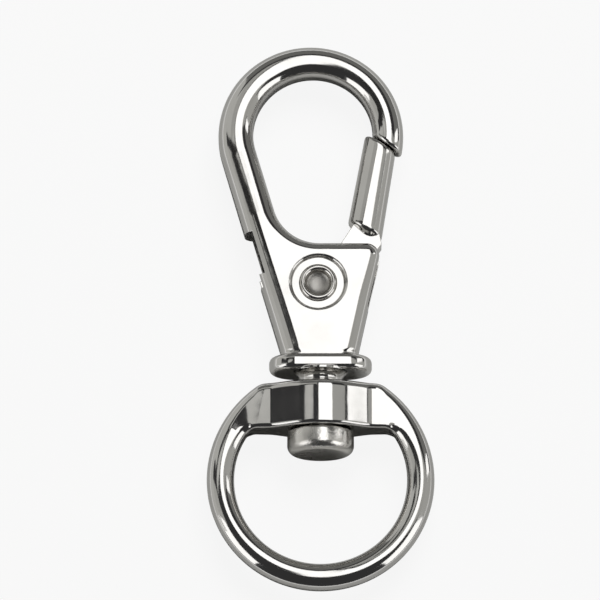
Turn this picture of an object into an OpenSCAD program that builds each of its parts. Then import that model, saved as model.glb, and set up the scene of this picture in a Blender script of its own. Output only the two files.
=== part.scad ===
// Swivel snap hook, lying on its back: a cast hook with a sprung gate that closes its mouth,
// and an eye ring that turns on a stud under the hook's flange. +Y runs from the ring to the
// bow, +Z is the front, and heights along the hook are measured from the flange's underside.

/* [Bow] */
// Outer radius of the round bow
bow_r = 11.6; // [11.2:0.1:12.4]
// Width of the bow at its tip and top
bow_w = 3.85; // [3.75:0.05:4.3]
// Width of the bow where it meets the straight limb
heel_w = 4.35; // [3.9:0.05:4.8]
// Thickness of the bow, front to back
bow_t = 4.6; // [4:0.1:5.2]
// Sideways place of the bow's centre from the swivel axis
bow_x = -1.2; // [-1.8:0.1:-0.8]
// Height of the bow's centre above the flange's underside
bow_height = 30.7; // [30:0.1:32]
// Edge radius round the outside of the bow
bow_outer_edge = 1.8; // [1.2:0.05:1.9]
// Edge radius round the inside of the bow
bow_inner_edge = 1.7; // [1.1:0.05:1.75]
// Edge radius on the outside of the straight limb
limb_edge = 2.1; // [1.6:0.05:2.15]
// Edge radius on the inside of the straight limb
limb_inner_edge = 1.8; // [1.3:0.05:1.9]
// Radius of the rounded end of the tip
tip_edge = 0.5; // [0.2:0.05:0.7]

/* [Body] */
// Thickness of the body, front to back
body_t = 5.8; // [5.4:0.1:6.4]
// Height of the throat, the floor of the hook's mouth
throat_height = 16.5; // [15.8:0.1:17.2]
// Sideways reach of the body's right corner at the throat
throat_reach = 7.75; // [7.4:0.05:8.2]
// Reach of the narrow lower end to the left
base_left = 5.05; // [4.6:0.05:5.3]
// Reach of the narrow lower end to the right
base_right = 4.75; // [4.4:0.05:5.2]
// Radius of the fillet between the limb and the throat
throat_fillet = 6; // [5:0.1:7]
// Radius of the body's right corner
corner_r = 1.6; // [1.45:0.05:2.2]
// Edge radius down the back of the hook
back_edge = 2.3; // [1.6:0.05:2.6]
// Edge radius of the throat
front_edge = 1.35; // [0.8:0.05:1.45]
// Edge radius down the gate side
right_edge = 1.65; // [1.2:0.05:1.8]

/* [Flange] */
// Length of the flange bead, side to side
flange_l = 12.8; // [12.2:0.1:14]
// Thickness of the flange bead, front to back
flange_t = 6.6; // [6.4:0.1:7.4]
// Height of the flange bead
flange_h = 2; // [1.6:0.1:2.4]
// Radius of the bead's rounded edges
bead_r = 0.7; // [0.4:0.05:0.75]
// Radius of the fillet between the body's sides and the flange
flange_fillet = 0.8; // [0.4:0.05:1]
// Diameter of the neck that bears on the ring's bar
neck_d = 6; // [5.4:0.1:6.4]
// Height of the neck
neck_h = 1.35; // [1:0.05:2]

/* [Gate] */
// Width of the gate's arm at its nose
nose_w = 4.1; // [4:0.05:4.3]
// Width of the gate's arm at its shoulder
shoulder_w = 4.45; // [4.1:0.05:4.7]
// Thickness of the gate's arm, front to back
gate_t = 4.6; // [4.2:0.1:5]
// Edge radius of the gate's arm
gate_edge = 1.85; // [1.3:0.05:1.95]
// Height of the faces that meet when the gate is shut above the bow's centre, square to them
nose_rise = 3.9; // [3.6:0.05:4.2]
// Slant of the faces that meet
nose_angle = 32; // [30:1:36]
// Gap between the shut gate and the tip
shut_gap = 0.15; // [0.1:0.05:0.3]
// Sideways place of the arm's middle at the shoulder
arm_x = 5.6; // [5.4:0.05:5.8]
// Lean of the arm to the right
arm_angle = 9.9; // [9.4:0.1:10.4]
// Height of the shoulder above the throat
shoulder_rise = 2.15; // [2:0.05:2.6]
// Slant of the shoulder
shoulder_angle = 25; // [20:1:30]
// Length of the slope from the arm down to the tongue
shoulder_l = 0.9; // [0.6:0.05:1.2]
// Drop of the tongue's outer edge, and rise of its inner edge, beside the shoulder
tongue_skirt = 0.9; // [0.6:0.1:1.1]
// Inset of the tongue's inner edge from the shoulder's
tongue_inset = 0.85; // [0.4:0.05:1]
// Thickness of the flat tongue in the slot
tongue_t = 3.1; // [2.8:0.05:3.2]
// Radius of the round hub about the rivet
hub_r = 3.9; // [3.6:0.05:4.2]
// How far the gate swings open, in degrees
open_angle = 30; // [20:1:34]

/* [Slot] */
// Play on each face of the tongue
slot_play = 0.15; // [0.1:0.01:0.2]
// Play round the hub and beside the tongue
pocket_play = 0.35; // [0.25:0.05:0.5]
// Height of the window's upper edge on the back of the hook
window_top = 17.6; // [17:0.1:18.2]
// Height of the window's lower edge
window_low = 12.2; // [11.6:0.1:12.8]
// Fall of the window's roof from the back of the hook to the slot
window_roof = 3.5; // [3:0.1:4.2]
// Direction from the rivet to the inner end of the window's floor, in degrees
floor_angle = 195; // [190:1:205]
// Depth to which the cheeks' back edges are cut away at the window
window_cut = 0.95; // [0.5:0.05:1.2]
// Depth of the slot's open gate side below the rivet
mouth_low = 2.2; // [1.8:0.1:2.8]

/* [Rivet] */
// Sideways place of the rivet
rivet_x = -0.3; // [-0.6:0.1:0]
// Height of the rivet above the flange's underside
rivet_height = 11.2; // [10.9:0.1:11.5]
// Diameter of the rivet's shank
rivet_d = 3.6; // [3.2:0.1:3.8]
// Bore of the hollow rivet
rivet_bore = 3; // [2.6:0.1:3.1]
// Depth of the bore below the rivet's seat in front
bore_depth = 0.6; // [0.4:0.1:1.5]
// Diameter of the rolled rim in front
rim_d = 4.8; // [4.5:0.1:5.3]
// Height of the rolled rim
rim_h = 0.6; // [0.4:0.05:0.8]
// Diameter of the rivet's flat head behind
head_d = 5.8; // [5.2:0.1:6.4]
// Height of the flat head
head_h = 0.7; // [0.5:0.05:0.9]
// Bevel round the flat head
head_bevel = 0.15; // [0.05:0.05:0.3]
// Diameter of the round recess about the rivet
recess_d = 7.5; // [6.9:0.1:8]
// Depth of the recess
recess_depth = 0.55; // [0.3:0.05:0.6]
// Running play between the rivet and the gate's hub
hub_play = 0.08; // [0.05:0.01:0.1]

/* [Spring] */
// Diameter of the gate spring's wire
spring_wire = 0.45; // [0.35:0.05:0.5]
// Whole turns of the gate spring
spring_turns = 2; // [1:1:2]
// Gap between the spring's coils and the rivet
spring_gap = 0.3; // [0.2:0.05:0.4]
// Reach of the spring's upper leg from the rivet's middle
spring_leg = 5.4; // [5.2:0.1:6]
// Direction of the upper leg's end from the rivet, in degrees
leg_angle = 38; // [34:1:44]
// Reach of the lower leg beyond the inner edge of the window's floor
leg_on_floor = 1; // [0.6:0.1:1.6]
// Gap between the coils and the faces beside them
coil_gap = 0.05; // [0.03:0.01:0.08]

/* [Swivel] */
// Diameter of the stud's shank
stud_d = 4.2; // [3.8:0.1:4.6]
// Depth of the stud's seat above the flange's underside
stud_seat = 5.2; // [4.6:0.1:5.6]
// Diameter of the stud's head inside the ring
stud_head_d = 8.3; // [7.6:0.1:9]
// Height of the stud's head
stud_head_h = 2.9; // [2.4:0.1:3.4]
// Bevel round the top of the stud's head
stud_bevel = 0.4; // [0.2:0.05:0.6]
// Radius of the round edge below the stud's head
stud_round = 1.1; // [0.6:0.1:1.5]
// Running play round the stud in the bar's bore
stud_play = 0.08; // [0.05:0.01:0.1]
// Gap at each end of the bar, along the swivel axis
end_play = 0.15; // [0.1:0.05:0.3]

/* [Ring] */
// Outer diameter of the eye ring
ring_d = 28.3; // [27:0.1:30]
// Diameter of the ring's round wire
ring_wire = 3.4; // [3:0.1:3.8]
// Height of the ring's crossbar
bar_h = 5.8; // [5.2:0.1:6.4]
// Distance from the middle of the ring up to the top of the crossbar
bar_rise = 12.05; // [11.6:0.05:12.3]
// Thickness of the round boss in the middle of the bar
boss_t = 9; // [8.6:0.1:9.6]
// Width of the boss
boss_w = 10.6; // [10:0.1:11.4]
// Thickness of the bar beside the boss
wing_t = 4.8; // [4.2:0.1:5.2]
// Thickness to which the bar thins out at the ring's outer edge
wing_end_t = 2.4; // [2:0.1:3]
// Radius of the fillets beside the boss
boss_fillet = 1.2; // [0.8:0.1:1.6]
// Radius of the fillets in the corners of the eye
eye_fillet = 1.5; // [1:0.1:2]

/* [Hidden] */
$fn = 96;
// Facets in each quarter of a rounded edge, and least radius left on an edge
quarter = 4;
least_edge = 0.12;
// A little more than a cut needs, so that no skin is left
over = 1;
// A hair by which joined shapes reach into each other
bite = 0.02;
// Share of a circle's radius at which an outline that runs into it ends, inside it
inside = 0.9;
// Steps round the bow and round the throat's fillet
bow_steps = 32;
fillet_steps = 6;
// Share of the flange's fillet that shows before the bead begins
fillet_share = 0.98;
// Inset of the arm's foot, so that it ends inside the tongue
tuck = 0.15;
// Play of the spring's leg across its groove
groove_play = 0.2;
// Directions from the rivet to the slot's lower edge and to the tongue's outer and inner edges
slot_edge_angle = -60;
tongue_outer_angle = -15;
tongue_inner_angle = 65;

// Places along the swivel axis, with the whole hook centred on the origin
bar_top = -(neck_h + end_play);
bar_low = bar_top - bar_h;
ring_y = bar_top - bar_rise;
shift = -(bow_height + bow_r + ring_y - ring_d / 2) / 2;
mid_z = max(boss_t, flange_t, stud_head_d) / 2;
rivet = [rivet_x, rivet_height];

// Plain vector helpers
function dir(a) = [cos(a), sin(a)];
function unit(v) = v / norm(v);
function mix(a, b, t) = a + (b - a) * t;
function ease(t) = t * t * (3 - 2 * t);
function steps(n) = [for (k = [0 : n]) k / n];
function turned(v, a) = [v.x * cos(a) - v.y * sin(a), v.x * sin(a) + v.y * cos(a)];

// The bow: an outer circle and an eye circle set a little towards the tip and the top
bow = [bow_x, bow_height];
eye_r = bow_r - (bow_w + heel_w) / 2;
eye = bow + [1, 1] * (heel_w - bow_w) / 2;

// The back of the hook runs from the lower end up to where it touches the bow
base_y = flange_h + flange_fillet;
back_low = [-base_left, base_y];
back_lean = asin(bow_r / norm(bow - back_low)) - atan2(bow.x + base_left, bow.y - base_y);
down = [sin(back_lean), -cos(back_lean)];
inward = [cos(back_lean), sin(back_lean)];
back_high = bow - bow_r * inward;
eye_side = eye - eye_r * inward;

// The limb's inner edge drops to the throat, with a fillet where they meet
drop = (eye_side.y - throat_height) / cos(back_lean);
inner_corner = eye_side + drop * down;
fillet_turn = 90 - back_lean;
fillet_l = throat_fillet * tan(fillet_turn / 2);
fillet_start = inner_corner - fillet_l * down;
fillet_mid = fillet_start + throat_fillet * inward;
limb_w = (fillet_start - back_high) * inward;
fillet_back = fillet_start - limb_w * inward;

// The right edge runs from the throat's corner to the lower end
right_low = [base_right, base_y];
right_high = [throat_reach, throat_height];
right_lean = atan2(right_high.x - right_low.x, right_high.y - right_low.y);
right_out = [cos(right_lean), -sin(right_lean)];
corner_l = corner_r * tan((90 + right_lean) / 2);
corner_mid = [throat_reach - corner_l, throat_height - corner_r];
corner_end = corner_mid + corner_r * right_out;

// The shut gate and the tip meet on one slanted plane, at a set distance from the rivet
nose_n = [sin(nose_angle), cos(nose_angle)];
nose_t = [cos(nose_angle), -sin(nose_angle)];
nose_reach = nose_n * (bow - rivet) + nose_rise;

// Point where a circle crosses the slanted plane at distance d from the rivet
function on_plane(c, r, d) =
    let (h = d - nose_n * (c - rivet))
    c + h * nose_n + sqrt(r * r - h * h) * nose_t;

// Share of the back's length that is passed while the inner edge goes round the fillet,
// along the throat, and round the corner
fan = [0.26, 0.5, 0.56];

// One station of a skin: its two edge points, the ways in from them, half the thickness,
// the two edge radii, and how far the whole section is drawn in
function station(p, q, vp, vq, ht, rp, rq, d = 0) = [p, q, vp, vq, ht, rp, rq, d];

// A station whose section lies in the plane through its two edge points; np and nq are the
// true ways in, so that slanted sections keep their edge radii
function flat_station(p, q, np, nq, ht, rp, rq, d = 0) =
    let (u = unit(q - p))
    station(p, q, u / (u * np), -u / (-u * nq), ht, rp, rq, d);

// Points of a quarter round from the flat face (90 degrees) to the side (0 degrees)
function edge_point(p, v, ht, r, d, a, side) =
    let (s = max(r - d, least_edge), w = d + s * (1 - cos(a)))
    [p.x + v.x * w, p.y + v.y * w, side * (ht - d - s * (1 - sin(a)))];
function loop(s) =
    let (a = [for (t = steps(quarter)) 90 * t])
    concat(
        [for (k = [quarter : -1 : 0]) edge_point(s[0], s[2], s[4], s[5], s[7], a[k], 1)],
        [for (k = [0 : quarter]) edge_point(s[0], s[2], s[4], s[5], s[7], a[k], -1)],
        [for (k = [quarter : -1 : 0]) edge_point(s[1], s[3], s[4], s[6], s[7], a[k], -1)],
        [for (k = [0 : quarter]) edge_point(s[1], s[3], s[4], s[6], s[7], a[k], 1)]);

// Closed skin over a row of stations, with a flat cap at each end
module skin(stations) {
    m = 4 * (quarter + 1);
    last = (len(stations) - 1) * m;
    points = [for (s = stations) each loop(s)];
    polyhedron(points, concat(
        [for (i = [0 : m : last - 1], j = [0 : m - 1], half = [0, 1])
            let (a = i + j, b = i + (j + 1) % m)
            half == 0 ? [a, b + m, b] : [a, a + m, b + m]],
        [for (j = [1 : m - 2]) [0, j, j + 1]],
        [for (j = [1 : m - 2]) [last, last + j + 1, last + j]]));
}

// Stations of the tip's rounded end, drawn in towards the plane of the meeting faces
function tip_station(depth, d) =
    let (p = on_plane(bow, bow_r, nose_reach + depth), q = on_plane(eye, eye_r, nose_reach + depth))
    flat_station(p, q, unit(bow - p), unit(q - eye), bow_t / 2, bow_outer_edge, bow_inner_edge, d);
tip_stations = [for (a = [0, 30, 60, 90])
    tip_station(tip_edge * (1 - cos(a)), tip_edge * (1 - sin(a)))];

// Stations round the bow, from the tip over the top to the back
tip_out = on_plane(bow, bow_r, nose_reach + tip_edge) - bow;
tip_in = on_plane(eye, eye_r, nose_reach + tip_edge) - eye;
bow_end = 180 + back_lean;
bow_stations = [for (k = [1 : bow_steps])
    let (
        t = k / bow_steps,
        p = bow + bow_r * dir(mix(atan2(tip_out.y, tip_out.x), bow_end, t)),
        q = eye + eye_r * dir(mix(atan2(tip_in.y, tip_in.x), bow_end, t))
    )
    flat_station(p, q, unit(bow - p), unit(q - eye), bow_t / 2,
        mix(bow_outer_edge, limb_edge, ease(max(0, 2 * t - 1))), bow_inner_edge)];

// Stations down the limb, growing to the body's thickness
limb_stations = [for (t = [0.2 : 0.2 : 0.8])
    flat_station(mix(back_high, fillet_back, t), mix(eye_side, fillet_start, t), inward, -inward,
        mix(bow_t, body_t, ease(t)) / 2, limb_edge, mix(bow_inner_edge, limb_inner_edge, t))];

// Stations across the body: the back runs straight down while the inner edge turns
function body_station(share, q, nq, edge = front_edge) =
    station(mix(fillet_back, back_low, share), q, inward, nq,
        body_t / 2, mix(limb_edge, back_edge, ease(share)), edge);
body_stations = concat(
    [for (t = steps(fillet_steps))
        let (way = dir(180 + back_lean + fillet_turn * t))
        body_station(fan[0] * t, fillet_mid + throat_fillet * way, way,
            mix(limb_inner_edge, front_edge, t))],
    [for (t = [0.5, 1])
        body_station(mix(fan[0], fan[1], t),
            mix(fillet_mid - [0, throat_fillet], corner_mid + [0, corner_r], t), [0, -1])],
    [for (t = [0.25 : 0.25 : 1])
        let (way = dir(90 - (90 + right_lean) * t))
        body_station(mix(fan[1], fan[2], t), corner_mid + corner_r * way, -way)],
    [for (t = [0.34, 0.67, 1])
        body_station(mix(fan[2], 1, t), mix(corner_end, right_low, t), -right_out,
            mix(front_edge, right_edge, ease(2 * min(t, 0.5))))]);

// Stations of the foot: each side swells through its fillet into the flange bead
function fillet_out(y) =
    let (h = min(max(base_y - y, 0), flange_fillet))
    flange_fillet - sqrt(flange_fillet * flange_fillet - h * h);
function bead_out(y, half) =
    let (h = max(bead_r - min(y, flange_h - y), 0))
    y > flange_h ? 0 : half - bead_r + sqrt(max(bead_r * bead_r - h * h, 0));
function side_at(y, low, lean) = low - (base_y - y) * tan(lean);
function foot_station(y, bead) =
    let (
        end = bead ? bead_out(y, flange_l / 2) : 0,
        left = max(side_at(y, base_left, back_lean) + fillet_out(y), end),
        right = max(side_at(y, base_right, right_lean) + fillet_out(y), end),
        ht = max(body_t / 2, bead ? bead_out(y, flange_t / 2) : 0)
    )
    station([-left, y], [right, y], [1, 0], [-1, 0], ht,
        bead ? ht - least_edge : back_edge, bead ? ht - least_edge : right_edge);
foot_stations = concat(
    [for (t = [0.2 : 0.2 : 1]) foot_station(base_y - flange_fillet * fillet_share * t, false)],
    [for (a = [90 : -20 : 10]) foot_station(flange_h - bead_r * (1 - sin(a)), true)],
    [for (a = [10 : 20 : 90]) foot_station(bead_r * (1 - sin(a)), true)]);

// Outline of the slot: round the hub, out past the throat and the gate side as far as the
// tongue's inner edge swings, and through the back of the hook as a window
slot_t = tongue_t + 2 * slot_play;
pocket_r = hub_r + pocket_play;
far = flange_l;
module slot_outline() {
    swung_low = rivet + turned(tongue_inner_low, open_angle) - [pocket_play, 0];
    swung_high = rivet + turned(tongue_inner_high, open_angle) - [pocket_play, 0];
    translate(rivet) circle(pocket_r);
    polygon([rivet, swung_low, swung_high, swung_high + [0, far], rivet + [far, far],
        rivet + [far, -mouth_low], rivet + inside * pocket_r * dir(slot_edge_angle)]);
    polygon([[-far, window_low], [-far, window_top], [rivet.x - pocket_r / 2, window_top - window_roof],
        rivet + floor_in - over / 2 * floor_dir]);
}

module hook_body() {
    color("silver")
        translate([0, shift, mid_z])
        difference() {
            union() {
                skin(concat(tip_stations, bow_stations, limb_stations, body_stations, foot_stations));
                translate([0, bite, 0])
                    rotate([90, 0, 0]) cylinder(h = neck_h + bite, d = neck_d);
            }
            // Slot for the gate's tongue, and the cheeks cut back at its window
            linear_extrude(slot_t, center = true) slot_outline();
            linear_extrude(body_t + over, center = true) window_outline();
            // Rivet hole, with a round recess in front and behind
            translate(rivet) cylinder(h = body_t + over, d = rivet_d, center = true);
            for (side = [0, 1])
                mirror([0, 0, side])
                translate([rivet.x, rivet.y, body_t / 2 - recess_depth])
                cylinder(h = recess_depth + over, d1 = recess_d - recess_depth, d2 = recess_d + over);
            // Seat of the swivel stud
            translate([0, stud_seat, 0])
                rotate([90, 0, 0]) cylinder(h = stud_seat + neck_h + over, d = stud_d);
        }
}

// The cheeks are cut away a little along the back, between the window's two edges
module window_outline() {
    polygon([[-far, window_low], [-far, window_top],
        on_back(window_top) + window_cut * inward, on_back(window_low) + window_cut * inward]);
}
function on_back(y) = back_low + down * (base_y - y) / cos(back_lean);

// The gate's arm stands on its shoulder and leans to the right
arm_dir = [sin(arm_angle), cos(arm_angle)];
arm_side = [cos(arm_angle), -sin(arm_angle)];
arm_foot = [arm_x, throat_height + shoulder_rise];
arm_l = (nose_reach - shut_gap - nose_n * (arm_foot - rivet)) / (nose_n * arm_dir);

// One section of the arm, a distance below the nose plane (measured square to it), with its
// inner edge pulled in
function arm_station(below, d, ht, pull = 0) =
    let (
        along = arm_l - below / (nose_n * arm_dir),
        share = min(max(along / arm_l, 0), 1),
        slant = mix(shoulder_angle, nose_angle, share),
        t = [cos(slant), -sin(slant)],
        half = mix(shoulder_w, nose_w, share) / 2 / (t * arm_side),
        c = arm_foot + arm_dir * along,
        edge = min(gate_edge, ht - least_edge)
    )
    flat_station(c - (half - pull) * t, c + half * t, arm_side, -arm_side, ht, edge, edge, d);
arm_depth = arm_l * (nose_n * arm_dir);
arm_stations = concat(
    [for (a = [0, 30, 60, 90]) arm_station(tip_edge * (1 - cos(a)), tip_edge * (1 - sin(a)), gate_t / 2)],
    [for (t = [0.25 : 0.25 : 0.75]) arm_station(arm_depth * t, 0, gate_t / 2)],
    [arm_station(arm_depth, 0, gate_t / 2),
        arm_station(arm_depth + shoulder_l, tuck, tongue_t / 2 - bite + tuck, tongue_inset)]);

// The tongue runs from under the shoulder to the hub, its inner edge flared
tongue_foot = arm_foot - arm_dir * shoulder_l;
tongue_inner_low = inside * hub_r * dir(tongue_inner_angle);
tongue_inner_high = tongue_foot - (shoulder_w / 2 - tongue_inset) * arm_side
    + [0, tongue_skirt] - rivet;
module tongue_outline() {
    top = arm_foot + arm_dir * over;
    half = (shoulder_w - gate_edge) / 2;
    translate(rivet) circle(hub_r);
    polygon([top - half * arm_side, top + half * arm_side,
        tongue_foot + shoulder_w / 2 * arm_side - [0, tongue_skirt],
        rivet + inside * hub_r * dir(tongue_outer_angle), rivet, rivet + tongue_inner_low, rivet + tongue_inner_high]);
}

module gate() {
    color("gainsboro")
        translate([0, shift, mid_z])
        difference() {
            union() {
                skin(arm_stations);
                linear_extrude(tongue_t, center = true) tongue_outline();
            }
            // Bore for the rivet
            translate(rivet) cylinder(h = gate_t, d = rivet_d + 2 * hub_play, center = true);
            // Step behind, which holds the spring's coils, and a groove for its upper leg
            translate([rivet.x, rivet.y, hub_back - slot_t])
                cylinder(h = slot_t, r = pocket_r);
            translate([rivet.x, rivet.y, hub_back - slot_t])
                rotate([0, 0, coil_end + 90])
                translate([0, -coil_r - groove_w / 2, 0])
                cube([leg_end.x + groove_w / 2, groove_w, slot_t]);
        }
}

// The spring: a close coil round the rivet. Its lower leg bears on the inner edge of the
// window's floor in the hook, and its upper leg lies in the gate's groove; each leg is a
// tangent of the coil.
coil_r = rivet_d / 2 + spring_gap + spring_wire / 2;
groove_w = spring_wire + groove_play;
floor_in = pocket_r * dir(floor_angle);
floor_dir = unit([-far, window_low] - rivet - floor_in);
leg_pass = coil_r + spring_wire / 2 + coil_gap;
coil_start = floor_angle + acos(leg_pass / pocket_r) - 360;
leg_run = sqrt(pocket_r * pocket_r - leg_pass * leg_pass) + leg_on_floor;
leg_rest = coil_r * dir(coil_start) + leg_run * dir(coil_start - 90);
coil_end = leg_angle - acos(coil_r / spring_leg);
coil_turn = coil_end - coil_start + 360 * spring_turns;
leg_end = [sqrt(spring_leg * spring_leg - coil_r * coil_r), 0];
coil_z = -slot_t / 2 + spring_wire / 2 + coil_gap;
coil_rise = (spring_wire + coil_gap / 2) * coil_turn / 360;
hub_back = coil_z + coil_rise + spring_wire / 2 + coil_gap;

// Wire swept along a path, as a ring of flats round each of its points
module wire(path, d, sides = 6) {
    n = len(path) - 1;
    way = [for (i = [0 : n]) unit(path[min(i + 1, n)] - path[max(i - 1, 0)])];
    flat = [for (w = way) unit(cross(w, abs(w.z) > 0.9 ? [1, 0, 0] : [0, 0, 1]))];
    points = [for (i = [0 : n], k = [0 : sides - 1])
        path[i] + d / 2 * (flat[i] * cos(360 * k / sides) + cross(flat[i], way[i]) * sin(360 * k / sides))];
    last = n * sides;
    polyhedron(points, concat(
        [for (i = [0 : sides : last - 1], j = [0 : sides - 1], half = [0, 1])
            let (a = i + j, b = i + (j + 1) % sides)
            half == 0 ? [a, b, b + sides] : [a, b + sides, a + sides]],
        [for (j = [1 : sides - 2]) [0, j + 1, j]],
        [for (j = [1 : sides - 2]) [last, last + j, last + j + 1]]));
}

module gate_spring() {
    coil = [for (t = steps(4 * ceil(coil_turn / 60)))
        let (p = coil_r * dir(coil_start + coil_turn * t))
        [p.x, p.y, coil_z + coil_rise * t]];
    high = spring_leg * dir(leg_angle);
    color("dimgray")
        translate([rivet.x, rivet.y + shift, mid_z])
        wire(concat([[leg_rest.x, leg_rest.y, coil_z]], coil, [[high.x, high.y, coil_z + coil_rise]]),
            spring_wire);
}

// Hollow rivet, turned as one profile: a flat head behind, the shank through cheeks and hub,
// the blind bore, and the rim that was rolled over in front
module gate_rivet() {
    seat = body_t / 2 - recess_depth;
    crest = (rivet_bore + rim_d) / 4;
    lip = (rim_d - rivet_bore) / 4;
    color("lightgray")
        translate([rivet.x, rivet.y + shift, mid_z])
        rotate_extrude() polygon(concat(
            [[0, -seat - head_h], [head_d / 2 - head_bevel, -seat - head_h],
                [head_d / 2, -seat - head_h + head_bevel], [head_d / 2, -seat],
                [rivet_d / 2, -seat], [rivet_d / 2, seat]],
            [for (a = [0 : 15 : 180]) [crest + lip * cos(a), seat + rim_h * sin(a)]],
            [[rivet_bore / 2, seat - bore_depth], [0, seat - bore_depth]]));
}

// Stud, turned as one profile: the shank up through the bar into the hook, and a button head
// inside the ring with a small bevel above and a round edge below
module swivel_stud() {
    top = bar_low - end_play;
    r = stud_head_d / 2;
    color("silver")
        translate([0, shift + top, mid_z])
        rotate([90, 0, 0])
        rotate_extrude() polygon(concat(
            [[0, top - stud_seat], [stud_d / 2, top - stud_seat], [stud_d / 2, 0],
                [r - stud_bevel, 0], [r, stud_bevel]],
            [for (a = [0 : 15 : 90])
                [r - stud_round + stud_round * cos(a), stud_head_h - stud_round + stud_round * sin(a)]],
            [[0, stud_head_h]]));
}

// Ring: round wire, closed by a straight bar with a round boss for the stud
module ring() {
    color("silver")
        translate([0, shift, mid_z])
        difference() {
            union() {
                intersection() {
                    translate([0, ring_y, 0])
                        rotate_extrude() translate([(ring_d - ring_wire) / 2, 0]) circle(d = ring_wire);
                    translate([0, bar_top - ring_d, 0]) cube([2, 2, 1] * ring_d, center = true);
                }
                intersection() {
                    linear_extrude(boss_t + over, center = true) bar_outline();
                    translate([0, bar_top, 0]) rotate([90, 0, 0]) linear_extrude(2 * bar_h) bar_section();
                }
            }
            translate([0, bar_top + over, 0])
                rotate([90, 0, 0]) cylinder(h = bar_h + 2 * over, d = stud_d + 2 * stud_play);
        }
}

// Plan of the bar: the top slice of the ring's disc, with filleted corners to the eye
module bar_outline() {
    r = ring_d / 2 - bite;
    eye_in = ring_d / 2 - ring_wire;
    centre_d = eye_in - eye_fillet;
    fx = sqrt(centre_d * centre_d - pow(bar_low - eye_fillet - ring_y, 2));
    touch = dir(atan2(bar_low - eye_fillet - ring_y, fx)) * (eye_in + ring_wire / 4);
    difference() {
        intersection() {
            translate([0, ring_y]) circle(r);
            union() {
                translate([-ring_d, bar_low]) square([2 * ring_d, bar_h]);
                for (side = [0, 1])
                    mirror([side, 0])
                    polygon([[fx, bar_low + bite], [fx, bar_low], [touch.x, touch.y + ring_y],
                        [touch.x + ring_wire / 4, bar_low + bite]]);
            }
        }
        for (side = [-1, 1])
            translate([side * fx, bar_low - eye_fillet]) circle(eye_fillet);
    }
}

// Cross-section of the bar: a round boss that runs through small fillets into wings, which
// thin out towards the ring's wire
module bar_section() {
    rise = (boss_t - wing_t) / 2;
    r = (pow(boss_w / 2, 2) + rise * rise) / (2 * rise);
    mid = [0, boss_t / 2 - r];
    slope = atan2((wing_t - wing_end_t) / 2, (ring_d - boss_w) / 2);
    root = [boss_w / 2, wing_t / 2];
    along = dir(-slope);
    out = dir(90 - slope);
    // Centre of the fillet: boss_fillet above the wing's face and outside the boss's circle
    h = boss_fillet + (root - mid) * out;
    fillet_c = mid + h * out + sqrt(pow(r + boss_fillet, 2) - h * h) * along;
    touch = mid + r * unit(fillet_c - mid);
    land = fillet_c - boss_fillet * out;
    for (front = [0, 1])
        mirror([0, front]) {
            intersection() {
                translate(mid) circle(r);
                translate([-boss_w / 2, 0]) square([boss_w, boss_t]);
            }
            for (right = [0, 1])
                mirror([right, 0]) {
                    polygon([[0, 0], [ring_d / 2, 0], [ring_d / 2, wing_end_t / 2], root, [0, wing_t / 2]]);
                    difference() {
                        polygon([[0, 0], [land.x, 0], land, touch]);
                        translate(fillet_c) circle(boss_fillet);
                    }
                }
        }
}

hook_body();
gate();
gate_rivet();
gate_spring();
swivel_stud();
ring();
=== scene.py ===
# Swivel snap hook, lying on its back on a pale table: zinc castings in bright nickel plate,
# held by a hollow steel rivet and a turned steel stud. +Y runs from the ring to the bow.
import math

import bpy
import numpy as np
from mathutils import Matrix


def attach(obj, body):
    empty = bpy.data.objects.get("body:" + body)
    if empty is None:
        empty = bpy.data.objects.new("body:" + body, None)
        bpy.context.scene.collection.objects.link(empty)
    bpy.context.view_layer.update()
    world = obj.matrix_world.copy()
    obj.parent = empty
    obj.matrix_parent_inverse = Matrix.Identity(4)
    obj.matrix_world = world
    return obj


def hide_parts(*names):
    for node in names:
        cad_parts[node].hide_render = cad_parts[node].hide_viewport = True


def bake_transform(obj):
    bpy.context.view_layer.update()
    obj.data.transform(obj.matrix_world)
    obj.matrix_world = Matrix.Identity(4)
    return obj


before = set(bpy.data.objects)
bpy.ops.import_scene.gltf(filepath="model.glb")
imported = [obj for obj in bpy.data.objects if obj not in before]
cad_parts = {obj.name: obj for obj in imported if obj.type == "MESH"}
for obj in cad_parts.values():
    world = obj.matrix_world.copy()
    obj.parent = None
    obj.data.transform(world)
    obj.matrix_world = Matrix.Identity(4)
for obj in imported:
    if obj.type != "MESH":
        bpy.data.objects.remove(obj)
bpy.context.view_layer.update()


# The hook: one zinc die casting, barrel polished and nickel plated. A round bow runs into a
# straight limb and a thicker body, which is slotted for the gate and sunk round the rivet.
# Sizes are in millimetres, from the swivel axis and from the underside of the flange.
bow_r, bow_w, heel_w, bow_t = 11.6, 3.85, 4.35, 4.6
bow_outer_edge, bow_inner_edge, limb_edge, limb_inner_edge, tip_edge = 1.8, 1.7, 2.1, 1.8, 0.5
bow = np.array([-1.2, 30.7])
body_t, throat_height, throat_reach, base_left, base_right = 5.8, 16.5, 7.75, 5.05, 4.75
throat_fillet, corner_r, back_edge, front_edge, right_edge = 6.0, 1.6, 2.3, 1.35, 1.65
flange_l, flange_t, flange_h, bead_r, flange_fillet = 12.8, 6.6, 2.0, 0.7, 0.8
neck_d, neck_h, end_play = 6.0, 1.35, 0.15
rivet = np.array([-0.3, 11.2])
rivet_d, recess_d, recess_depth = 3.6, 7.5, 0.55
nose_rise, nose_slant = 3.9, math.radians(32)
tongue_t, slot_play, pocket_play, hub_r, gate_open = 3.1, 0.15, 0.35, 3.9, math.radians(30)
stud_d, stud_seat = 4.2, 5.2
# The least flat left between two rounded edges, and the play round a pin that turns
least_flat, turn_play = 0.12, 0.08
# Where the part's own frame lies: shift along Y, and the height of the middle plane
shift, mid_z = -7.3, 4.5
lift = np.array([0, shift, mid_z])
rivet_at = lift + [*rivet, 0]


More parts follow.
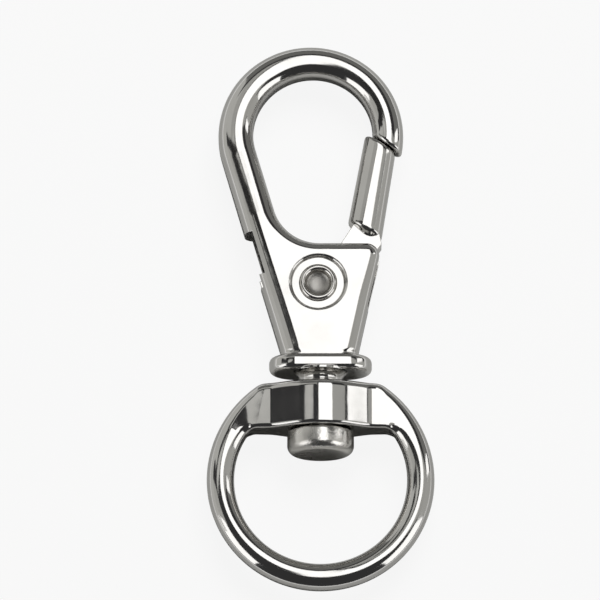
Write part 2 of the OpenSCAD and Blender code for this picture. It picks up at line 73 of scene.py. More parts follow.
def ray(degrees):
    """Unit vectors at these angles: the cosine and the sine, side by side."""
    a = np.radians(np.asarray(degrees, float))
    return np.stack([np.cos(a), np.sin(a)], -1)


def unit(v):
    """v divided by its own length."""
    return v / np.linalg.norm(v, axis=-1, keepdims=True)


def ease(t):
    """Smooth step from 0 to 1: three t squared less two t cubed."""
    t = np.clip(t, 0, 1)
    return t * t * (3 - 2 * t)


def sections(p, q, vp, vq, half, edge_p, edge_q, inset=0.0):
    """Sections of a cast bar as rows of numbers: the edge points p and q, the ways in from
    them, half the thickness, the two edge radii, and how far the section is drawn in."""
    n = len(p)
    one = [np.broadcast_to(np.asarray(v, float), (n,)) for v in (half, edge_p, edge_q, inset)]
    two = [np.broadcast_to(v, (n, 2)) for v in (p, q, vp, vq)]
    return np.column_stack(two + one)


def square_sections(p, q, normal_p, normal_q, *rest):
    """Sections whose plane goes through p and q: each way in is the line between them,
    stretched until it goes one unit along that edge's own normal."""
    u = unit(q - p)
    vp = u / (u * normal_p).sum(-1, keepdims=True)
    vq = -u / (-u * normal_q).sum(-1, keepdims=True)
    return sections(p, q, vp, vq, *rest)


def skin(rows, quarter=9, strip=0.05):
    """Grid of points, one row for each section. A corner of radius s at angle a lies
    s(1 - cos a) in from the edge and s(1 - sin a) below the face. One more point on each flat,
    a strip away or a fifth of a narrower flat, keeps the face flat when it is shaded smooth."""
    p, q, vp, vq = rows[:, 0:2], rows[:, 2:4], rows[:, 4:6], rows[:, 6:8]
    half, edge_p, edge_q, inset = rows[:, 8:12].T[:, :, None]
    a = np.radians(np.linspace(90, 0, quarter + 1))
    cos = np.concatenate([[0], np.cos(a), [1]])
    sin = np.concatenate([[1], np.sin(a), [0]])
    on_face = np.concatenate([[1], np.zeros(quarter + 2)])
    on_side = on_face[::-1]
    flat = np.linalg.norm(q - p, axis=1)[:, None] - edge_p - edge_q

    def corner(point, way, edge, side):
        s = np.clip(edge - inset, 0.05, 0.985 * half)
        w = inset + s * (1 - cos) + on_face * np.clip(0.2 * flat, 0.004, strip)
        z = half - inset - s * (1 - sin) - on_side * np.clip(0.4 * (half - inset - s), 0, strip)
        xy = point[:, None] + way[:, None] * w[..., None]
        return np.concatenate([xy, side * z[..., None]], -1)

    top_p, low_p = corner(p, vp, edge_p, 1), corner(p, vp, edge_p, -1)
    top_q, low_q = corner(q, vq, edge_q, 1), corner(q, vq, edge_q, -1)
    return np.concatenate([top_p, low_p[:, ::-1], low_q, top_q[:, ::-1]], 1)


def grid_faces(n, m, closed=False):
    """Four-sided faces of a grid of n rows by m points, closed round each row, and from the
    last row to the first where the whole shape is a ring; otherwise a face at each end."""
    i, j = np.meshgrid(np.arange(n if closed else n - 1), np.arange(m), indexing="ij")
    a, b = i * m + j, i * m + (j + 1) % m
    up = ((i + 1) % n - i) * m
    faces = np.stack([a, b, b + up, a + up], -1).reshape(-1, 4).tolist()
    if not closed:
        faces += [list(range(m))[::-1], list(range((n - 1) * m, n * m))]
    return faces


def solid(name, points, faces):
    """A mesh object in metres from points in millimetres; it is turned right side out if the
    volume under its faces comes out negative."""
    mesh = bpy.data.meshes.new(name)
    mesh.from_pydata(np.asarray(points, float).reshape(-1, 3) * 0.001, [], faces)
    mesh.update()
    mesh.calc_loop_triangles()
    co = np.empty(len(mesh.vertices) * 3)
    mesh.vertices.foreach_get("co", co)
    tri = np.empty(len(mesh.loop_triangles) * 3, int)
    mesh.loop_triangles.foreach_get("vertices", tri)
    v = co.reshape(-1, 3)[tri.reshape(-1, 3)]
    if np.einsum("ij,ij->", v[:, 0], np.cross(v[:, 1], v[:, 2])) < 0:
        mesh.flip_normals()
    obj = bpy.data.objects.new(name, mesh)
    bpy.context.scene.collection.objects.link(obj)
    return obj


def prism(name, outline, low, high):
    """A plate: the outline, a row of points in the plane, carried from one height to another."""
    outline = np.asarray(outline, float) + [0, shift]
    n = len(outline)
    z = np.repeat([low + mid_z, high + mid_z], n)
    return solid(name, np.column_stack([np.tile(outline, (2, 1)), z]), grid_faces(2, n))


def turned(name, profile, place, along="z", steps=144):
    """A turned piece: a profile of radius r and height h, carried round z or y, so a point
    at angle a lies at (r cos a, r sin a, h), or with h along y. Points on the axis merge."""
    r, h = np.asarray(profile, float).T
    a = np.linspace(0, 2 * np.pi, steps, endpoint=False)
    x, y, z = np.outer(r, np.cos(a)), np.outer(r, np.sin(a)), np.outer(h, np.ones(steps))
    grid = np.stack([x, y, z] if along == "z" else [x, z, -y], -1) + np.asarray(place, float)
    obj = solid(name, grid, grid_faces(len(r), steps))
    weld = obj.modifiers.new("poles", "WELD")
    weld.merge_threshold = 2e-6
    return settle(obj)


def rod(radius, start, stop):
    """The profile of a plain rod, from one height on the axis to another."""
    return [[0, start], [radius, start], [radius, stop], [0, stop]]


def settle(obj):
    """Applies the object's modifiers, and keeps only the finished mesh."""
    ready = obj.evaluated_get(bpy.context.evaluated_depsgraph_get())
    made = bpy.data.meshes.new_from_object(ready)
    obj.modifiers.clear()
    old, obj.data = obj.data, made
    bpy.data.meshes.remove(old)
    return obj


def join(obj, others, way):
    """Cuts the other solids from this one, or adds them to it, and then drops them. The
    hairline cracks that the cuts leave are closed at the end."""
    for other in others:
        step = obj.modifiers.new("join", "BOOLEAN")
        step.operation, step.solver, step.object = way, "EXACT", other
        bpy.context.view_layer.update()
        settle(obj)
        bpy.data.objects.remove(other)
    weld = obj.modifiers.new("cracks", "WELD")
    weld.merge_threshold = 1e-6
    settle(obj)


def smooth(obj, sharp=38):
    """Smooth shading, sharp where faces meet at more than this angle, with each point's
    normal led by its largest faces. Faces that lie level, and those over 0.3 square
    millimetres that are square to the swivel axis, are shaded flat."""
    count = len(obj.data.polygons)
    normal, area = np.empty(count * 3), np.empty(count)
    obj.data.polygons.foreach_get("normal", normal)
    obj.data.polygons.foreach_get("area", area)
    square = np.abs(normal.reshape(-1, 3)) > 0.99999
    obj.data.set_sharp_from_angle(angle=math.radians(sharp))
    obj.data.polygons.foreach_set("use_smooth", ~(square[:, 2] | square[:, 1] & (area > 3e-7)))
    lead = obj.modifiers.new("normals", "WEIGHTED_NORMAL")
    lead.mode, lead.weight, lead.keep_sharp = "FACE_AREA", 60, True
    settle(obj)


# What follows from those sizes: the eye's circle, the limb's lean, the throat's fillet, the
# body's right corner, and the slanted plane on which the tip and the gate meet
eye_r = bow_r - (bow_w + heel_w) / 2
eye = bow + (heel_w - bow_w) / 2
base_y = flange_h + flange_fillet
back_low, right_low = np.array([-base_left, base_y]), np.array([base_right, base_y])
lean = (math.asin(bow_r / math.dist(bow, back_low))
        - math.atan2(bow[0] + base_left, bow[1] - base_y))
down = np.array([math.sin(lean), -math.cos(lean)])
inward = np.array([math.cos(lean), math.sin(lean)])
back_high, eye_side = bow - bow_r * inward, eye - eye_r * inward
inner_corner = eye_side + (eye_side[1] - throat_height) / math.cos(lean) * down
turn = 90 - math.degrees(lean)
fillet_start = inner_corner - throat_fillet * math.tan(math.radians(turn / 2)) * down
fillet_mid = fillet_start + throat_fillet * inward
fillet_back = fillet_start - ((fillet_start - back_high) @ inward) * inward
right_lean = math.atan2(throat_reach - base_right, throat_height - base_y)
right_out = np.array([math.cos(right_lean), -math.sin(right_lean)])
corner_mid = np.array([throat_reach - corner_r * math.tan((math.pi / 2 + right_lean) / 2),
                       throat_height - corner_r])
corner_end = corner_mid + corner_r * right_out
nose_n = np.array([math.sin(nose_slant), math.cos(nose_slant)])
nose_t = np.array([math.cos(nose_slant), -math.sin(nose_slant)])
nose_reach = nose_n @ (bow - rivet) + nose_rise


def on_plane(centre, radius, distance):
    """Where a circle crosses the slanted plane at these distances from the rivet: along the
    plane's normal by h, and along the plane by the root of the radius squared less h squared."""
    h = np.asarray(distance, float) - nose_n @ (centre - rivet)
    return centre + h[:, None] * nose_n + np.sqrt(radius ** 2 - h ** 2)[:, None] * nose_t


def between(a, b, t):
    """Points from a to b, t being the share of the way."""
    return np.asarray(a) + (np.asarray(b) - np.asarray(a)) * np.asarray(t)[:, None]


def level(a, b, t):
    """Numbers from a to b, t being the share of the way."""
    return a + (b - a) * np.asarray(t)


# The tip, rounded over towards the slanted face that the gate shuts against
a = np.radians(np.linspace(0, 90, 8))
depth = nose_reach + tip_edge * (1 - np.cos(a))
p, q = on_plane(bow, bow_r, depth), on_plane(eye, eye_r, depth)
tip = square_sections(p, q, unit(bow - p), unit(q - eye), bow_t / 2, bow_outer_edge,
                      bow_inner_edge, tip_edge * (1 - np.sin(a)))
# The bow, from the tip over the top to the back. Its last five eighths take up half of the
# body's greater thickness, and its last half the limb's rounder edge
t = np.linspace(0, 1, 121)[1:]
out, into = p[-1] - bow, q[-1] - eye
end = 180 + math.degrees(lean)
p = bow + bow_r * ray(level(math.degrees(math.atan2(out[1], out[0])), end, t))
q = eye + eye_r * ray(level(math.degrees(math.atan2(into[1], into[0])), end, t))
arc_half = level(bow_t, body_t, 0.5 * ease(1.6 * t - 0.6)) / 2
arc = square_sections(p, q, unit(bow - p), unit(q - eye), arc_half,
                      level(bow_outer_edge, limb_edge, ease(2 * t - 1)), bow_inner_edge)
# The straight limb; from the bow's top to the body the casting thickens slowly
t = np.linspace(0, 1, 25)[1:-1]
limb = square_sections(between(back_high, fillet_back, t), between(eye_side, fillet_start, t),
                       inward, -inward, level(arc_half[-1], body_t / 2, t), limb_edge,
                       level(bow_inner_edge, limb_inner_edge, t))


def body_part(share, q, way, edge=front_edge):
    """Sections across the body: p runs down the back by this share of it, q round the front."""
    p = between(fillet_back, back_low, share)
    return sections(p, q, inward, way, body_t / 2,
                    level(limb_edge, back_edge, ease(share)), edge)


# The body: the throat's fillet, the throat, its right corner, and the gate side. They end at
# these shares of the way down the back
fillet_share, throat_share, corner_share = 0.36, 0.5, 0.56
t = np.linspace(0, 1, 25)
way = ray(180 + math.degrees(lean) + turn * t)
throat = [body_part(fillet_share * t, fillet_mid + throat_fillet * way, way,
                    level(limb_inner_edge, front_edge, t))]
t = np.linspace(0, 1, 9)[1:]
throat.append(body_part(level(fillet_share, throat_share, t),
                        between(fillet_mid - [0, throat_fillet], corner_mid + [0, corner_r], t),
                        [0, -1]))
t = np.linspace(0, 1, 17)[1:]
way = ray(90 - (90 + math.degrees(right_lean)) * t)
throat.append(body_part(level(throat_share, corner_share, t), corner_mid + corner_r * way,
                        -way))
t = np.linspace(0, 1, 13)[1:]
throat.append(body_part(level(corner_share, 1, t), between(corner_end, right_low, t),
                        -right_out, level(front_edge, right_edge, ease(2 * t))))
# The foot: the sides swell through a fillet into the flange, a bead with rounded edges
down_fillet = np.linspace(0.1, 0.98, 10)
a = np.radians(np.linspace(90, 0, 13))
y = np.concatenate([base_y - flange_fillet * down_fillet, flange_h - bead_r * (1 - np.sin(a)),
                    (bead_r * (1 - np.sin(a)))[::-1]])
bead = np.arange(len(y)) >= len(down_fillet)
h = np.minimum(base_y - y, flange_fillet)
fillet_out = flange_fillet - np.sqrt(flange_fillet ** 2 - h ** 2)
h = np.maximum(bead_r - np.minimum(y, flange_h - y), 0)
rounded = np.sqrt(np.maximum(bead_r ** 2 - h ** 2, 0)) - bead_r
left = base_left - (base_y - y) * math.tan(lean) + fillet_out
right = base_right - (base_y - y) * math.tan(right_lean) + fillet_out
left = np.where(bead, np.maximum(left, flange_l / 2 + rounded), left)
right = np.where(bead, np.maximum(right, flange_l / 2 + rounded), right)
half = np.where(bead, np.maximum(body_t / 2, flange_t / 2 + rounded), body_t / 2)
# The body's edges grow as round as the bead's on the way through the fillet
blend = ease((base_y - y) / flange_fillet)
roundest = half - least_flat
foot = sections(np.column_stack([-left, y]), np.column_stack([right, y]), [1, 0], [-1, 0], half,
                level(back_edge, roundest, blend), level(right_edge, roundest, blend))
rows = np.concatenate([tip, arc, limb] + throat + [foot])
grid = skin(rows) + lift
hook = solid("hook", grid, grid_faces(*grid.shape[:2]))
# Under the flange the neck runs in through a hollow fillet, and its end has a small bevel
neck_end, neck_fillet, neck_bevel, neck_root = neck_d / 2 - 0.35, 1.15, 0.12, 0.3
a = np.radians(np.linspace(0, 90, 13))
hollow = np.column_stack([neck_end + neck_fillet * (1 - np.sin(a)),
                          -neck_fillet * (1 - np.cos(a))])
profile = np.concatenate([[[0, neck_root], [hollow[0, 0], neck_root]], hollow,
                          [[neck_end - neck_bevel, -neck_h], [0, -neck_h]]])
join(hook, [turned("neck", profile, lift, "y")], "UNION")

# The slot for the gate's tongue, the window in the back, the rivet's seat and the stud's. How
# far the slot is open follows from the gate's swing, so the gate's own sizes come first
pocket_r, slot_t, far = hub_r + pocket_play, tongue_t + 2 * slot_play, 12.8
window_low, window_high, window_roof, mouth_drop = 12.2, 17.6, 14.1, 2.2
arm_lean = math.radians(9.9)
arm_dir = np.array([math.sin(arm_lean), math.cos(arm_lean)])
arm_side = np.array([math.cos(arm_lean), -math.sin(arm_lean)])
arm_foot = np.array([5.6, throat_height + 2.15])
shoulder_l, shoulder_w, nose_w, gate_t, gate_edge, tongue_inset = 0.9, 4.45, 4.1, 4.6, 1.85, 0.85
tongue_foot = arm_foot - arm_dir * shoulder_l
tongue_root, tongue_in, tongue_out, tongue_skew = 0.9 * hub_r, 65, -15, 0.9
inner_low = tongue_root * ray(tongue_in)
inner_high = tongue_foot - (shoulder_w / 2 - tongue_inset) * arm_side + [0, tongue_skew] - rivet
swing = np.array([[math.cos(gate_open), -math.sin(gate_open)],
                  [math.sin(gate_open), math.cos(gate_open)]])
swung_low, swung_high = (rivet + swing @ v - [pocket_play, 0] for v in (inner_low, inner_high))
floor_at = 195
floor_in = pocket_r * ray(floor_at)
floor_dir = unit(np.array([-far, window_low]) - rivet - floor_in)


def on_back(height):
    """The point of the hook's back at this height."""
    return back_low + down * (base_y - height) / math.cos(lean)


def disc(radius, steps=120):
    """A circle about the rivet, as a row of points."""
    return rivet + radius * ray(np.linspace(0, 360, steps, endpoint=False))


def plate_cut(outline, half):
    """A plate through the middle of the thickness, for cutting."""
    return prism("cut", outline, -half, half)


back_cut = 0.95 * inward
cuts = [
    plate_cut(disc(pocket_r), slot_t / 2),
    plate_cut([rivet, swung_low, swung_high, swung_high + [0, far], rivet + [far, far],
               rivet + [far, -mouth_drop], rivet + 0.9 * pocket_r * ray(-60)], slot_t / 2),
    plate_cut([[-far, window_low], [-far, window_high], [rivet[0] - pocket_r / 2, window_roof],
               rivet + floor_in - floor_dir / 2], slot_t / 2),
    plate_cut([[-far, window_low], [-far, window_high], on_back(window_high) + back_cut,
               on_back(window_low) + back_cut], body_t),
    turned("cut", rod(rivet_d / 2, -5, 5), rivet_at),
    turned("cut", rod(stud_d / 2, stud_seat, -3), lift, "y"),
]
# Each recess has a small fillet at its floor and a rolled edge where it meets the face
floor_fillet, rolled, clear = 0.1, 0.42, 0.6
a = np.radians(np.linspace(0, 78, 9))
recess_r = recess_d / 2 - rolled
wall = np.column_stack([recess_r + rolled * (1 - np.cos(a)), -rolled * (1 - np.sin(a))])
recess = np.concatenate([[[0, -recess_depth], [recess_r - floor_fillet, -recess_depth],
                          [recess_r - 0.3 * floor_fillet, 0.3 * floor_fillet - recess_depth]],
                         wall, [[recess_d / 2 + 0.25, clear], [0, clear]]])
for side in (1, -1):
    cuts.append(turned("cut", recess * [1, side], rivet_at + [0, 0, side * body_t / 2]))
join(hook, cuts, "DIFFERENCE")
smooth(hook)


def linear(code):
    """A colour written as an sRGB hex value, turned to linear light."""
    c = np.array([int(code[i:i + 2], 16) for i in (1, 3, 5)]) / 255
    return (*np.where(c <= 0.04045, c / 12.92, ((c + 0.055) / 1.055) ** 2.4), 1.0)


def add(tree, kind, settings=None, **inputs):
    """Adds a node to a tree: settings go on the node, and each input is a value or a link.
    An input is named by its label with underscores for spaces, or as i0, i1 by its place."""
    made = tree.nodes.new(kind)
    for key, value in (settings or {}).items():
        setattr(made, key, value)
    for key, value in inputs.items():
        number = key[1:] if key[0] == "i" and key[1:].isdigit() else None
        socket = made.inputs[int(number) if number else key.replace("_", " ")]
        if isinstance(value, bpy.types.NodeSocket):
            tree.links.new(value, socket)
        else:
            socket.default_value = value
    return made


def plating(name, bright, dull, polish, haze, wave, pits, edge=0.0):
    """A metal surface. The plate is near mirror, so what shows is a slow waviness left by
    polishing, a fine pitting, and faint duller clouds where it was handled. polish and haze
    are the least and most roughness, and wave and pits the heights of the bump, in
    millimetres. edge, where it is given, is how far sharp edges look rounded over."""
    made = bpy.data.materials.new(name)
    made.use_nodes = True
    tree = made.node_tree
    tree.nodes.clear()
    at = add(tree, "ShaderNodeTexCoord").outputs["Object"]
    # Clouds of handling, about 6 mm across
    clouds = add(tree, "ShaderNodeTexNoise", Vector=at, Scale=1000 / 6, Detail=3.0, Roughness=0.6)
    # Polishing waves, about 2.5 mm long, and pits of about 0.3 mm
    waves = add(tree, "ShaderNodeTexNoise", Vector=at, Scale=1000 / 2.5, Detail=1.0)
    grain = add(tree, "ShaderNodeTexNoise", Vector=at, Scale=1000 / 0.3, Detail=2.0)
    tone = add(tree, "ShaderNodeMix", {"data_type": "RGBA"}, Factor=clouds.outputs["Fac"],
               i6=linear(dull), i7=linear(bright))
    rough = add(tree, "ShaderNodeMapRange", Value=clouds.outputs["Fac"], From_Min=0.3,
                From_Max=0.7, To_Min=haze, To_Max=polish)
    soft = {}
    if edge:
        over = add(tree, "ShaderNodeBevel", {"samples": 6}, Radius=edge * 0.001)
        soft["Normal"] = over.outputs[0]
    slow = add(tree, "ShaderNodeBump", Height=waves.outputs["Fac"], Distance=wave * 0.001, **soft)
    fine = add(tree, "ShaderNodeBump", Height=grain.outputs["Fac"], Distance=pits * 0.001,
               Normal=slow.outputs[0])
    shader = add(tree, "ShaderNodeBsdfPrincipled", Metallic=1.0, Base_Color=tone.outputs[2],
                 Roughness=rough.outputs[0], Normal=fine.outputs[0])
    add(tree, "ShaderNodeOutputMaterial", Surface=shader.outputs[0])
    return made


def dress(obj, material, body, node):
    """Gives a finished piece its material and its place in the frame, and hides the part it
    stands in for.
    """
    obj.data.materials.append(material)
    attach(obj, body)
    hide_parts(node)


cast_nickel = plating("bright_nickel_on_cast_zinc", "#D7D6D4", "#C9C7C3", 0.05, 0.12, 0.012,
                      0.0006, edge=0.12)
dress(hook, cast_nickel, "hook", "hook_body")


# The gate: a smaller casting of the same metal. Its rounded arm stands on a flat tongue, which
# turns on the rivet inside the slot, and the hub is stepped behind for the spring's coils.
shut_gap, shoulder_slant, tuck, lap = 0.15, 25.0, 0.15, 0.02
spring_wire, coil_gap, coil_play, spring_leg, leg_up = 0.45, 0.05, 0.3, 5.4, 38.0
coil_r = rivet_d / 2 + coil_play + spring_wire / 2
leg_pass = coil_r + spring_wire / 2 + coil_gap
coil_start = floor_at + math.degrees(math.acos(leg_pass / pocket_r)) - 360
coil_end = leg_up - math.degrees(math.acos(coil_r / spring_leg))
coil_turn = coil_end - coil_start + 720
coil_z = -slot_t / 2 + spring_wire / 2 + coil_gap
coil_rise = (spring_wire + coil_gap / 2) * coil_turn / 360
hub_back = coil_z + coil_rise + spring_wire / 2 + coil_gap

# The arm, from the slanted tip down to the foot, and on through the shoulder into the tongue
arm_l = (nose_reach - shut_gap - nose_n @ (arm_foot - rivet)) / (nose_n @ arm_dir)
arm_depth = arm_l * (nose_n @ arm_dir)
a = np.radians(np.linspace(0, 90, 8))
straight = np.linspace(0.1, 1, 28)
t = np.linspace(0, 1, 11)[1:]
below = np.concatenate([tip_edge * (1 - np.cos(a)), arm_depth * straight,
                        arm_depth + shoulder_l * t])
inset = np.concatenate([tip_edge * (1 - np.sin(a)), np.zeros(len(straight)), tuck * t])
along = arm_l - below / (nose_n @ arm_dir)
share = np.clip(along / arm_l, 0, 1)
fall = np.concatenate([np.zeros(len(below) - len(t)), t])
half = level(gate_t / 2, tongue_t / 2 - lap + tuck, ease(fall))
edge = np.minimum(gate_edge, half - least_flat)
slant = level(shoulder_slant, math.degrees(nose_slant), share)
across = ray(-slant)
reach = level(shoulder_w, nose_w, share) / 2 / (across @ arm_side)
centre = arm_foot + arm_dir * along[:, None]
pull = tongue_inset * ease(fall)
rows = square_sections(centre - (reach - pull)[:, None] * across,
                       centre + reach[:, None] * across, arm_side, -arm_side, half, edge, edge,
                       inset)
grid = skin(rows) + lift
gate = solid("gate_arm", grid, grid_faces(*grid.shape[:2]))

# The tongue and the hub, and then the rivet's bore, the step behind the hub and the groove
top = arm_foot + arm_dir
wide = (shoulder_w - gate_edge) / 2
tongue = prism("tongue", [
    top - wide * arm_side, top + wide * arm_side,
    tongue_foot + shoulder_w / 2 * arm_side - [0, tongue_skew],
    rivet + tongue_root * ray(tongue_out),
    rivet, rivet + inner_low, rivet + inner_high], -tongue_t / 2, tongue_t / 2)
hub = prism("hub", disc(hub_r), -tongue_t / 2, tongue_t / 2)
join(gate, [tongue, hub], "UNION")
groove_dir, groove_side = ray(coil_end + 90), ray(coil_end)
groove_play = 0.2
groove_w, groove_l = spring_wire + groove_play, math.sqrt(spring_leg ** 2 - coil_r ** 2)
start = rivet + (coil_r - groove_w / 2) * groove_side
stop = start + (groove_l + groove_w / 2) * groove_dir
join(gate, [
    prism("cut", disc(rivet_d / 2 + turn_play), -3, 3),
    prism("cut", disc(pocket_r), hub_back - slot_t, hub_back),
    prism("cut", [start, start + groove_w * groove_side, stop + groove_w * groove_side, stop],
          hub_back - slot_t, hub_back),
], "DIFFERENCE")
gate.name = "gate_casting"
smooth(gate)
dress(gate, cast_nickel, "gate", "gate")


# The gate's spring: two turns of drawn steel wire round the rivet, in the step behind the hub.
# One leg bears on the window's floor in the hook, the other lies in the gate's groove.
def swept(name, path, radius, sides=12):
    """A wire: a circle of this radius carried along the path, square to it at each point."""
    way = unit(np.concatenate([path[1:2] - path[:1], path[2:] - path[:-2],
                               path[-1:] - path[-2:-1]]))
    flat = unit(np.cross(way, [0, 0, 1]))
    a = np.linspace(0, 2 * np.pi, sides, endpoint=False)[None, :, None]
    ring = flat[:, None] * np.cos(a) + np.cross(flat, way)[:, None] * np.sin(a)
    return solid(name, path[:, None] + radius * ring, grid_faces(len(path), sides))


t = np.linspace(0, 1, 90)
coil = np.column_stack([coil_r * ray(coil_start + coil_turn * t), coil_z + coil_rise * t])
leg_over, bend_near, bend_far = 1, 2.7, 4.2
leg_run = math.sqrt(pocket_r ** 2 - leg_pass ** 2) + leg_over
leg_rest = coil_r * ray(coil_start) + leg_run * ray(coil_start - 90)
leg_tip = np.array([*(spring_leg * ray(leg_up)), coil_z + coil_rise])
path = np.concatenate([[[*leg_rest, coil_z]], coil,
                       between(coil[-1], leg_tip, np.linspace(0, 1, 25)[1:])])
spring = swept("spring_wire", path + rivet_at, spring_wire / 2)
smooth(spring, 60)
drawn_steel = plating("drawn_spring_steel", "#A9A9AB", "#8C8D90", 0.22, 0.34, 0.004, 0.001)
spring.data.materials.append(drawn_steel)
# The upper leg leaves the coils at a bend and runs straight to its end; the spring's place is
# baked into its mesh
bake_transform(spring)
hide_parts("gate_spring")


# The rivet: soft steel tube with a flat head behind. It was set by rolling its front edge over
# into a bright round rim, which leaves a blind hole in the middle; plated with the rest.
seat = body_t / 2 - recess_depth
rivet_bore, rim_d, rim_h, bore_depth, head_d, head_h, bevel = 3.0, 4.8, 0.6, 0.6, 5.8, 0.7, 0.15
strip, sheer = 0.05, 0.25
crest, roll = (rivet_bore + rim_d) / 4, (rim_d - rivet_bore) / 4
a = np.radians(np.linspace(0, 180, 25))
rim = np.column_stack([crest + roll * np.cos(a), seat + rim_h * np.sin(a)])
a = np.radians(np.linspace(0, 90, 6))
blind = np.column_stack([rivet_bore / 2 * np.cos(a),
                         seat - bore_depth * (sheer + (1 - sheer) * np.sin(a))])
profile = np.concatenate([
    [[0, -seat - head_h], [head_d / 2 - bevel - strip, -seat - head_h],
     [head_d / 2 - bevel, -seat - head_h], [head_d / 2, -seat - head_h + bevel],
     [head_d / 2, -seat], [rivet_d / 2, -seat], [rivet_d / 2, seat - lap],
     [rim_d / 2, seat - lap]],
    rim, blind])
pin = turned("rivet", profile, rivet_at)
smooth(pin, 50)
set_steel = plating("nickel_on_rolled_steel", "#D9D7D4", "#C4C1BC", 0.07, 0.2, 0.02, 0.004)
dress(pin, set_steel, "hook", "gate_rivet")
# The hole's inside is rougher and darker than the rest; the darker tone is painted shade in the
# hole
rough_steel_painted_shade = plating("rougher_steel_with_painted_shade", "#C9C7C3", "#AFACA6", 0.3, 0.45, 0.02, 0.004)
pin.data.materials.append(rough_steel_painted_shade)
centres = np.empty(len(pin.data.polygons) * 3)
pin.data.polygons.foreach_get("center", centres)
x, y, z = centres.reshape(-1, 3).T * 1000
# Faces in the blind hole take the darker material: painted shade
inside = (np.hypot(x - rivet_at[0], y - rivet_at[1]) < rivet_bore / 2 - lap) & (z > mid_z)
pin.data.polygons.foreach_set("material_index", inside.astype(np.int32))


# The swivel stud: turned steel, pressed into the foot of the hook through the ring's bar. Its
# button head sits inside the ring, and its plate is a little rough from turning.
bar_h, stud_head_d, stud_head_h, stud_bevel, stud_round, strip = 5.8, 8.3, 2.9, 0.4, 1.1, 0.1
bar_top = -(neck_h + end_play)
bar_low = bar_top - bar_h
top = bar_low - end_play
r = stud_head_d / 2
a = np.radians(np.linspace(0, 90, 13))
low_edge = np.column_stack([r - stud_round + stud_round * np.cos(a),
                            -stud_head_h + stud_round - stud_round * np.sin(a)])
high_edge = np.column_stack([r - stud_bevel + stud_bevel * np.sin(a[::3]),
                             -stud_bevel + stud_bevel * np.cos(a[::3])])
profile = np.concatenate([[[0, stud_seat - top], [stud_d / 2, stud_seat - top], [stud_d / 2, 0],
                           [r - stud_bevel - strip, 0]], high_edge, low_edge,
                          [[r - stud_round - strip, -stud_head_h], [0, -stud_head_h]]])
stud = turned("stud", profile, lift + [0, top, 0], "y")
smooth(stud, 50)
turned_steel = plating("nickel_on_turned_steel", "#ECEAE6", "#D2CFC9", 0.17, 0.36, 0.05, 0.02)
dress(stud, turned_steel, "hook", "swivel_stud")


# The eye ring: a casting of round section, closed by a straight bar. The bar swells into a
# round boss for the stud and thins out through two wings into the ring's wire.
ring_d, ring_wire, bar_rise, bar_reach = 28.3, 3.4, 12.05, 6.4
boss_t, boss_w, wing_t, wing_end_t, boss_fillet, eye_fillet = 9.0, 10.6, 4.8, 2.4, 1.2, 1.5
top_edge, low_edge, shoulder_r, run_out, wing_blend = 0.9, 0.45, 2.5, 26.0, 0.06
ring_mid = np.array([0, bar_top - bar_rise])
ring_r, eye_in, wire_r = ring_d / 2, ring_d / 2 - ring_wire, ring_wire / 2
wire_edge = 0.98 * wire_r
eye_top = bar_low - ring_mid[1]
fillet_y = eye_top - eye_fillet
fillet_x = math.sqrt((eye_in - eye_fillet) ** 2 - fillet_y ** 2)
touch = math.degrees(math.atan2(fillet_y, fillet_x))
shoulder_y = bar_rise - shoulder_r
shoulder_x = math.sqrt((ring_r - shoulder_r) ** 2 - shoulder_y ** 2)
shoulder_at = math.degrees(math.atan2(shoulder_y, shoulder_x))


def bar_half(x):
    """Half the bar's thickness at x: the boss's circle, or the tapering wing where that is
    higher, with the corner between them eased by a parabola as wide as the fillet."""
    rise = (boss_t - wing_t) / 2
    radius = ((boss_w / 2) ** 2 + rise ** 2) / (2 * rise)
    boss = boss_t / 2 - radius + np.sqrt(np.maximum(radius ** 2 - x ** 2, 0))
    fall = (wing_t - wing_end_t) / (ring_d - boss_w)
    wing = wing_t / 2 - fall * (np.abs(x) - boss_w / 2)
    near = np.clip(1 - np.abs(boss - wing) / boss_fillet, 0, 1)
    return np.maximum(boss, wing) + near ** 2 * boss_fillet / 4


def edges(past):
    """The top and low edge radii, this many degrees past where the wing's flat begins to show
    on the wire: a smooth step from the wire's own radius to the bar's, taken at 1.3 times the
    share of the way to the bar."""
    flatten = ease(1.3 * past / (90 - touch + run_out))
    return level(wire_edge, top_edge, flatten), level(wire_edge, low_edge, flatten)


# Right corner, from the wire up to the bar: both edges at the same direction of their normals.
# It is as thick as the wing or the wire, by a rounded maximum
a = np.linspace(touch, 90, 21)
way = ray(a)
outer = np.where((a < shoulder_at)[:, None], ring_r * way,
                 np.array([shoulder_x, shoulder_y]) + shoulder_r * way)
inner = np.array([fillet_x, fillet_y]) + eye_fillet * way
wing_half = bar_half((outer[:, 0] + inner[:, 0]) / 2)
corner_half = (wing_half + wire_r + np.hypot(wing_half - wire_r, wing_blend)) / 2
corner = square_sections(outer, inner, -way, way, corner_half, *edges(a - touch + run_out))
# The bar, from right to left, with its sections closest at its two ends
x = bar_reach * np.sin(np.linspace(np.pi / 2, -np.pi / 2, 61))
up = np.column_stack([x, np.full_like(x, bar_rise)])
low = np.column_stack([x, np.full_like(x, eye_top)])
bar = square_sections(up, low, [0, -1], [0, 1], bar_half(x), top_edge, low_edge)
# The wire, from the left corner round below to the right
a = np.linspace(180 - touch, 360 + touch, 161)[1:-1]
past = np.maximum(run_out - np.minimum(a - 180 + touch, 360 + touch - a), 0)
wire = square_sections(ring_r * ray(a), eye_in * ray(a), -ray(a), ray(a), wire_r, *edges(past))


def mirrored(rows):
    """The same sections on the other side of the swivel axis, in the opposite order."""
    return rows[::-1] * np.array([-1, 1, -1, 1, -1, 1, -1, 1, 1, 1, 1, 1])


